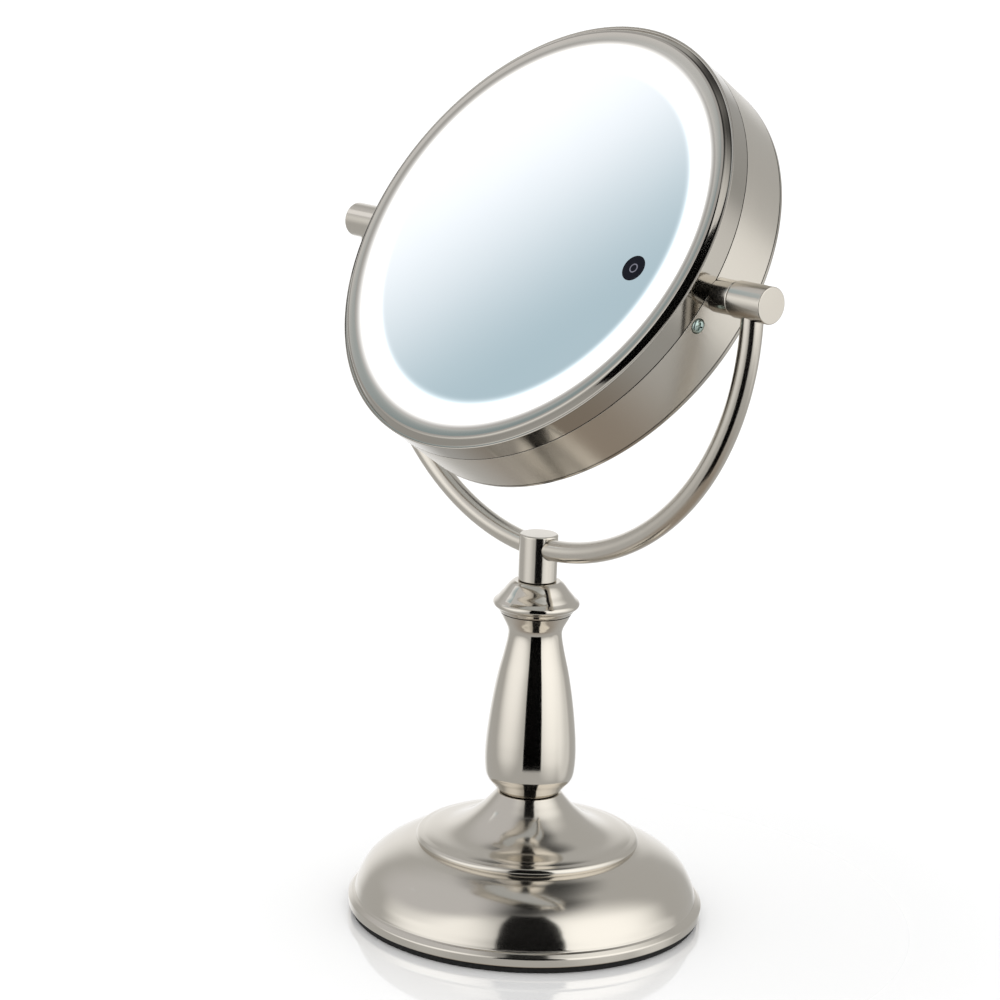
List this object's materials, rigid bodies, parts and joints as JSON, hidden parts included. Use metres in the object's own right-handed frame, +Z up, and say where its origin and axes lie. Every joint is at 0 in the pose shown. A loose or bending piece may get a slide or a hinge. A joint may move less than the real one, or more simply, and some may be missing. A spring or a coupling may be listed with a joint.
{
  "type": "lighted vanity mirror",
  "caption": "Tabletop vanity mirror: round two-sided head with a lit ring and touch switch, tilting on two pivots in a U yoke over a turned column and domed base.",
  "frame": {"origin": "centre of the underside of the base pad", "axes": "+Z up along the column, +X along the tilt axis towards the pivot beside the touch key, -Y the way the lit face looks"},
  "size_m": [0.2656, 0.16, 0.3965],
  "materials": {
    "satin_nickel": "satin nickel plate, finely brushed, with soft bright reflections",
    "plated_steel": "bright plated steel",
    "zinc_plated_steel": "zinc plate with a faint blue-green passivation",
    "cast_iron": "dull grey casting",
    "black_rubber": "matt black sheet rubber",
    "mirror_glass": "silvered glass",
    "lit_diffuser": "opal acrylic, lit from behind",
    "white_plastic": "moulded white",
    "black_plastic": "moulded black, fine texture",
    "gloss_black": "gloss black window with a grey ring",
    "circuit_board": "green solder mask",
    "nylon": "natural nylon",
    "battery_can": "plain sleeved cell",
    "red_wire": "insulated wire"
  },
  "bodies": {
    "stand": {"base_pad": "black_rubber", "base_shell": "satin_nickel", "base_weight": "cast_iron", "tie_rod": "plated_steel", "tie_rod_nut": "plated_steel", "tie_rod_washer": "plated_steel", "stem_baluster": "satin_nickel", "stem_cap": "satin_nickel", "yoke_post": "satin_nickel", "yoke_tube": "satin_nickel", "pivot_barrel_right": "satin_nickel", "pivot_barrel_left": "satin_nickel", "pivot_screw_right": "plated_steel", "pivot_screw_left": "plated_steel"},
    "head": {"pivot_collar_right": "satin_nickel", "pivot_collar_left": "satin_nickel", "drum_shell": "satin_nickel", "front_cover": "satin_nickel", "rear_bezel": "satin_nickel", "pivot_spring_washer_right": "plated_steel", "pivot_spring_washer_left": "plated_steel", "cover_lock_screw": "zinc_plated_steel", "battery_contact_upper": "zinc_plated_steel", "battery_contact_lower": "zinc_plated_steel", "touch_electrode": "zinc_plated_steel", "front_mirror": "mirror_glass", "rear_mirror": "mirror_glass", "light_diffuser": "lit_diffuser", "light_reflector": "white_plastic", "battery_holder": "black_plastic", "rear_backing": "black_plastic", "touch_key": "gloss_black", "led_ring_board": "circuit_board", "control_board": "circuit_board", "pivot_bush_right": "nylon", "pivot_bush_left": "nylon", "battery_1": "battery_can", "battery_2": "battery_can", "battery_3": "battery_can", "battery_4": "battery_can", "battery_lead": "red_wire", "led_lead": "red_wire"}
  },
  "joints": [
    {"name": "head_tilt", "type": "hinge", "parent": "stand", "child": "head", "pos_m": [0, 0, 0.298], "axis": [1, 0, 0], "continuous": true}
  ]
}
